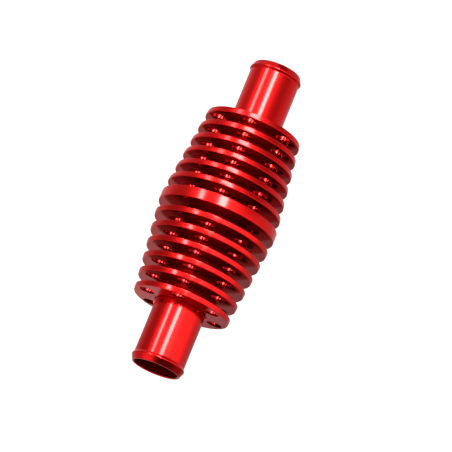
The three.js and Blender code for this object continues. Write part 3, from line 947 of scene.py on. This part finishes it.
def build_gauze():
    """Plain weave of round wire: rings and upright wires that pass over and under each other."""
    outer, low, high = box_ring("support_gauze")
    mean = (outer + GAUZE_INNER_RADIUS) / 2
    wire = 0.055 * MM
    clearance = 0.005 * MM
    sway = (outer - GAUZE_INNER_RADIUS) / 2 - wire - clearance
    uprights = 28
    rings = 26
    sides = 6
    pitch = (high - low - 2 * wire) / (rings - 1)
    heights = [low + wire + i * pitch / 2 for i in range(2 * rings - 1)]
    turns = [pi * i / uprights for i in range(2 * uprights)]
    skin = Skin()
    for k, height in enumerate(heights[::2]):
        out = sway if k % 2 else -sway
        path = [polar(mean + out * cos(pi * i / 2), turn, height) for i, turn in enumerate(turns)]
        skin.wire(path, wire, sides, closed=True)
    for k, turn in enumerate(turns[::2]):
        out = -sway if k % 2 else sway
        path = [polar(mean + out * cos(pi * i / 2), turn, height) for i, height in enumerate(heights)]
        skin.wire(path, wire, sides)
    dress("woven_support_gauze", "support_gauze", skin, "mesh")


def pleat_point(turn, count, offset, height):
    """A point on the folds' rounded zigzag, or at an offset from it."""
    sharpness = 0.96
    swing = (PLEAT_OUTER_RADIUS - PLEAT_INNER_RADIUS - PLEAT_SHEET) / 2
    wave = asin(sharpness * cos(count * turn)) / asin(sharpness)
    return polar((PLEAT_OUTER_RADIUS + PLEAT_INNER_RADIUS) / 2 + swing * wave + offset, turn, height)


def pleat_heights(node):
    _, low, high = box_ring(node)
    return [low + (high - low) * k / PLEAT_ROWS for k in range(PLEAT_ROWS + 1)]


def build_pleats(size):
    count = size.pleat_count
    steps = count * PLEAT_STEPS
    turns = [2 * pi * i / steps for i in range(steps)]
    walls = [(PLEAT_SHEET / 2, z) for z in pleat_heights("pleated_mesh")]
    walls += [(-offset, z) for offset, z in walls[::-1]]
    loops = [[pleat_point(t, count, *place) for t in turns] for place in walls]
    dress_loft("pleated_filter_mesh", "pleated_mesh", "mesh", loops, closed=True)

    half_span = radians(5)
    clip_inside = PLEAT_SHEET / 2 + 0.15 * MM
    clip_outside = clip_inside + 0.2 * MM
    turns = [half_span * (2 * k / PLEAT_STEPS - 1) for k in range(PLEAT_STEPS + 1)]
    heights = pleat_heights("seam_clip")
    section = [(clip_inside, z) for z in heights] + [(clip_outside, z) for z in heights[::-1]]
    loops = [[pleat_point(t, count, *place) for place in section] for t in turns]
    dress_loft("pleat_seam_clip", "seam_clip", "steel", loops, capped=True)


def build_potting():
    """Two rings of resin, whose free sides sag a little between their walls."""
    edge = 0.05 * MM
    sag = 0.12 * MM
    for name, node, upward in (
        ("lower_potting_resin", "bottom_potting_ring", 1),
        ("upper_potting_resin", "top_potting_ring", -1),
    ):
        inner = GAUZE_INNER_RADIUS
        outer, low, high = box_ring(node)
        cast, free = (low, high) if upward > 0 else (high, low)
        corners = [(inner, cast, edge), (outer, cast, edge), (outer, free, edge)]
        for share in (0.85, 0.6, 0.4, 0.15):
            depth = sag * (1 - (2 * share - 1) ** 4)
            corners.append((inner + share * (outer - inner), free - upward * depth))
        corners.append((inner, free, edge))
        dress_loft(name, node, "resin", turned(corners, 0, closed=True), closed=True)


def stage_object(name, points, faces, material, shader):
    """A part of the studio, whose material shows a shader."""
    set_inputs(material.node_tree.nodes["Material Output"], {"Surface": shader.outputs[0]})
    mesh = new_mesh(name, points, faces)
    mesh.materials.append(material)
    made = new_object(name, mesh)
    return made


def background_rays(tree):
    """One for the rays that show the background: camera, glossy and transmission rays."""
    path = add_node(tree, "LightPath")
    seen = path.outputs["Is Camera Ray"]
    for name in ("Is Glossy Ray", "Is Transmission Ray"):
        seen = maths(tree, "MAXIMUM", seen, path.outputs[name])
    return seen


def build_world():
    world = bpy.data.worlds.new("white studio")
    bpy.context.scene.world = world
    world.use_nodes = True
    tree = world.node_tree
    strength = map_range(tree, background_rays(tree), WORLD_SOFT_STRENGTH, 1.0)
    set_inputs(tree.nodes["Background"], {"Color": (1, 1, 1, 1), "Strength": strength})


def build_floor():
    material, tree = new_material("pale floor")
    paint = add_node(tree, "BsdfDiffuse", {"Color": FLOOR_PAINT})
    strength = map_range(tree, background_rays(tree), 0.0, FLOOR_GLOW)
    glow = add_node(tree, "Emission", {"Strength": strength})
    shader = add_node(tree, "AddShader", {0: paint.outputs[0], 1: glow.outputs[0]})
    corners = circle(FLOOR_REACH / cos(pi / 4), FLOOR_HEIGHT, 4, pi / 4)
    stage_object("pale_floor", corners, [(0, 1, 2, 3)], material, shader)


# Brightness of the light tent by the azimuth from the camera, in degrees to the camera's right
TENT_BELOW = (
    (-180, 0.68), (-140, 0.82), (-120, 0.94), (-100, 0.98), (-80, 0.8), (-60, 0.5), (-42, 0.66),
    (-20, 1.25), (0, 1.6), (40, 1.5), (60, 1.35), (80, 0.7), (100, 0.72), (120, 1), (140, 0.94),
    (180, 0.68),
)
TENT_ABOVE = (
    (-180, 0.51), (-140, 0.56), (-120, 0.81), (-100, 1.1), (-82, 1.9), (-60, 2.8), (-34, 2.9),
    (-20, 6), (-6, 2.2), (20, 1.7), (46, 1.35), (60, 0.9), (76, 0.5), (100, 0.48), (120, 0.78),
    (140, 0.64), (180, 0.51),
)
TENT_OVERHEAD = (
    (-180, 0.42), (-120, 0.34), (-60, 0.4), (0, 0.42), (60, 0.82), (120, 0.8), (158, 1), (180, 0.6),
)
TENT_RIM = (
    (-180, 0.45), (-120, 0.48), (-100, 0.4), (-80, 0.18), (-60, 0.09), (5, 0.1), (22, 0.45), (36, 1.7),
    (75, 1.8), (92, 0.8), (140, 0.6), (180, 0.45),
)
CARD_LEVELS = (
    (-180, 0.75), (-80, 0.82), (-64, 0.84), (-50, 0.36), (4, 0.36), (16, 1.3), (80, 1.25), (104, 0.9),
    (180, 0.75),
)

# Brightness higher up in the tent, and the heights between which it takes over
TENT_LAYERS = (
    (TENT_ABOVE, -160 * MM, -80 * MM),
    (TENT_OVERHEAD, 120 * MM, 220 * MM),
    (TENT_RIM, 360 * MM, 500 * MM),
)

# Strip lamps: azimuth from the camera in degrees, width, lowest and highest point, brightness
LAMPS = (
    ("front_strip_low", 9, 200 * MM, -340 * MM, -212 * MM, 55),
    ("front_strip", 1.8, 122 * MM, -208 * MM, 4 * MM, 78),
    ("front_strip_high", 1.8, 60 * MM, 20 * MM, 100 * MM, 8),
    ("right_strip_low", 48, 105 * MM, -340 * MM, -212 * MM, 17),
    ("right_strip_far", 46, 90 * MM, -208 * MM, -102 * MM, 36),
    ("right_strip_near", 43, 70 * MM, -98 * MM, 0, 64),
    ("right_strip_high", 41, 66 * MM, 30 * MM, 100 * MM, 62),
)


def azimuth_ramp(tree, share, levels):
    """The brightness at a share of the full turn, as a colour of which TENT_PEAK is white."""
    ramp = add_node(tree, "ValToRGB", {"Fac": share})
    elements = ramp.color_ramp.elements
    while len(elements) < len(levels):
        elements.new(0.5)
    for element, (azimuth, brightness) in zip(elements, levels):
        element.position = (azimuth + 180) / 360
        level = brightness / TENT_PEAK
        element.color = (level, level, level, 1)
    return ramp.outputs["Color"]


def unseen_panel(name, points, faces, levels, layers=()):
    """A glowing panel of the studio, brighter and darker by direction, that the camera doesn't see."""
    material, tree = new_material(name)
    x, y, z = object_axes(tree)
    turn = maths(tree, "ARCTAN2", x, maths(tree, "MULTIPLY", y, -1.0))
    inputs = {"Value": turn, "From Min": -pi, "From Max": pi}
    share = add_node(tree, "MapRange", inputs).outputs["Result"]
    colour = azimuth_ramp(tree, share, levels)
    for upper_levels, low, high in layers:
        inputs = {"Value": z, "From Min": low, "From Max": high}
        rise = add_node(tree, "MapRange", inputs, interpolation_type="SMOOTHSTEP")
        inputs = {0: rise.outputs["Result"], 6: colour, 7: azimuth_ramp(tree, share, upper_levels)}
        colour = add_node(tree, "Mix", inputs, data_type="RGBA").outputs[2]
    glow = add_node(tree, "Emission", {"Color": colour, "Strength": TENT_PEAK})
    panel = stage_object(name, points, faces, material, glow)
    panel.rotation_euler = (0, 0, VIEW_AZIMUTH)
    panel.visible_camera = False
    panel.visible_shadow = False
    return panel


def build_tent():
    """A round light tent that only reflections and lighting see."""
    wall = Skin()
    wall.loft([circle(TENT_RADIUS, height, TENT_STEPS) for height in (FLOOR_HEIGHT, TENT_TOP)])
    unseen_panel("light_tent", wall.points, wall.faces, TENT_BELOW, TENT_LAYERS)


def build_card():
    """A dim card under the filter that only reflections see, so the lower cones keep their depth."""
    points = circle(CARD_RADIUS, CARD_HEIGHT, TENT_STEPS)
    card = unseen_panel("dim_card", points, [tuple(range(TENT_STEPS))], CARD_LEVELS)
    card.visible_diffuse = False


def add_lamp(name, azimuth, width, low, high, brightness):
    """An upright strip lamp round the axis, at an azimuth from the camera in degrees."""
    data = bpy.data.lights.new(name, "AREA")
    data.shape = "RECTANGLE"
    data.size = width
    data.size_y = high - low
    data.energy = LAMP_WATTS_PER_BRIGHTNESS * width * (high - low) * brightness
    lamp = new_object(name, data)
    outward = heading(VIEW_AZIMUTH + radians(azimuth))
    lamp.location = outward * LAMP_DISTANCE + Vector((0, 0, (low + high) / 2))
    lamp.rotation_mode = "QUATERNION"
    lamp.rotation_quaternion = (-outward).to_track_quat("-Z", "Y")
    lamp.visible_camera = False


def build_camera():
    data = bpy.data.cameras.new("photograph")
    data.sensor_width = SENSOR_WIDTH
    data.lens = FOCAL_PIXELS / FRAME_PIXELS * SENSOR_WIDTH
    back = heading(VIEW_AZIMUTH) * cos(VIEW_ELEVATION) + Vector((0, 0, sin(VIEW_ELEVATION)))
    level = Vector((0, 0, 1)).cross(back).normalized()
    right = level * cos(VIEW_ROLL) + back.cross(level) * sin(VIEW_ROLL)
    up = back.cross(right)
    per_pixel = VIEW_DISTANCE / FOCAL_PIXELS
    centre = FRAME_PIXELS / 2
    middle = Vector((0, 0, MIDDLE))
    place = middle + back * VIEW_DISTANCE
    aim = middle + right * (centre - MIDDLE_PIXEL[0]) * per_pixel
    aim -= up * (centre - MIDDLE_PIXEL[1]) * per_pixel
    back = (place - aim).normalized()
    right = up.cross(back).normalized()
    up = back.cross(right)
    camera = new_object("photograph", data)
    camera.matrix_world = Matrix.Translation(place) @ Matrix((right, up, back)).transposed().to_4x4()
    bpy.context.scene.camera = camera


class FILTER_OT_stage(bpy.types.Operator):
    """Make the floor, the soft light and the photograph's camera"""

    bl_idname = "filter.stage"
    bl_label = "Stage"

    def execute(self, context):
        context.scene.view_settings.view_transform = "Standard"
        build_world()
        build_floor()
        build_tent()
        build_card()
        for lamp in LAMPS:
            add_lamp(*lamp)
        build_camera()
        return {"FINISHED"}


class FILTER_OT_barrel(bpy.types.Operator):
    """Turn and drill the finned barrel"""

    bl_idname = "filter.barrel"
    bl_label = "Finned barrel"

    def execute(self, context):
        build_barrel(context.scene.filter_sizes)
        return {"FINISHED"}


class FILTER_OT_spigots(bpy.types.Operator):
    """Turn the two hose spigots"""

    bl_idname = "filter.spigots"
    bl_label = "Hose spigots"

    def execute(self, context):
        build_spigots(context.scene.filter_sizes)
        return {"FINISHED"}


class FILTER_OT_seals(bpy.types.Operator):
    """Make the three seal rings"""

    bl_idname = "filter.seals"
    bl_label = "Seal rings"

    def execute(self, context):
        build_seals(context.scene.filter_sizes)
        return {"FINISHED"}


class FILTER_OT_screen(bpy.types.Operator):
    """Stamp the coarse inlet screen"""

    bl_idname = "filter.screen"
    bl_label = "Inlet screen"

    def execute(self, context):
        build_screen(context.scene.filter_sizes)
        return {"FINISHED"}


class FILTER_OT_washers(bpy.types.Operator):
    """Stamp the thrust washer and the support washer"""

    bl_idname = "filter.washers"
    bl_label = "Washers"

    def execute(self, context):
        build_washers()
        return {"FINISHED"}


class FILTER_OT_retaining_ring(bpy.types.Operator):
    """Stamp the split retaining ring"""

    bl_idname = "filter.retaining_ring"
    bl_label = "Retaining ring"

    def execute(self, context):
        build_retaining_ring()
        return {"FINISHED"}


class FILTER_OT_spring(bpy.types.Operator):
    """Coil the pressure spring"""

    bl_idname = "filter.spring"
    bl_label = "Pressure spring"

    def execute(self, context):
        build_spring(context.scene.filter_sizes)
        return {"FINISHED"}


class FILTER_OT_caps(bpy.types.Operator):
    """Turn the cartridge's two end caps"""

    bl_idname = "filter.caps"
    bl_label = "Cartridge caps"

    def execute(self, context):
        build_top_cap()
        build_bottom_cap()
        return {"FINISHED"}


class FILTER_OT_sleeves(bpy.types.Operator):
    """Roll the perforated core tube and outer guard"""

    bl_idname = "filter.sleeves"
    bl_label = "Perforated sleeves"

    def execute(self, context):
        build_sleeve("perforated_core_tube", "core_tube", 3.6 * MM, 12, 10, 0.62)
        build_sleeve("perforated_outer_guard", "outer_guard", 6.5 * MM, 18, 10, 0.66)
        return {"FINISHED"}


class FILTER_OT_gauze(bpy.types.Operator):
    """Weave the gauze that backs the pleats"""

    bl_idname = "filter.gauze"
    bl_label = "Support gauze"

    def execute(self, context):
        build_gauze()
        return {"FINISHED"}


class FILTER_OT_pleats(bpy.types.Operator):
    """Fold the filter mesh and clip its seam"""

    bl_idname = "filter.pleats"
    bl_label = "Pleats and seam clip"

    def execute(self, context):
        build_pleats(context.scene.filter_sizes)
        return {"FINISHED"}


class FILTER_OT_potting(bpy.types.Operator):
    """Cast the two potting rings"""

    bl_idname = "filter.potting"
    bl_label = "Potting rings"

    def execute(self, context):
        build_potting()
        return {"FINISHED"}


OPERATORS = (
    FILTER_OT_stage, FILTER_OT_barrel, FILTER_OT_spigots, FILTER_OT_seals, FILTER_OT_screen,
    FILTER_OT_washers, FILTER_OT_retaining_ring, FILTER_OT_spring, FILTER_OT_caps, FILTER_OT_sleeves,
    FILTER_OT_gauze, FILTER_OT_pleats, FILTER_OT_potting,
)


class FILTER_PT_pieces(bpy.types.Panel):
    """Lists the filter's sizes, colours and pieces"""

    bl_idname = "FILTER_PT_pieces"
    bl_label = "Fuel filter"
    bl_space_type = "VIEW_3D"
    bl_region_type = "UI"
    bl_category = "Filter"

    def draw(self, context):
        for group in (context.scene.filter_sizes, context.scene.filter_colours):
            box = self.layout.box()
            for name in group.bl_rna.properties.keys():
                if name not in ("rna_type", "name"):
                    box.prop(group, name)
        for operator in OPERATORS:
            self.layout.operator(operator.bl_idname)


CLASSES = (FilterSizes, FilterColours, *OPERATORS, FILTER_PT_pieces)


def register():
    for item in CLASSES:
        bpy.utils.register_class(item)
    bpy.types.Scene.filter_sizes = PointerProperty(type=FilterSizes)
    bpy.types.Scene.filter_colours = PointerProperty(type=FilterColours)


def unregister():
    del bpy.types.Scene.filter_colours
    del bpy.types.Scene.filter_sizes
    for item in reversed(CLASSES):
        bpy.utils.unregister_class(item)


def main():
    register()
    for operator in OPERATORS:
        getattr(bpy.ops.filter, operator.bl_idname.split(".")[1])()


if __name__ == "__main__":
    main()
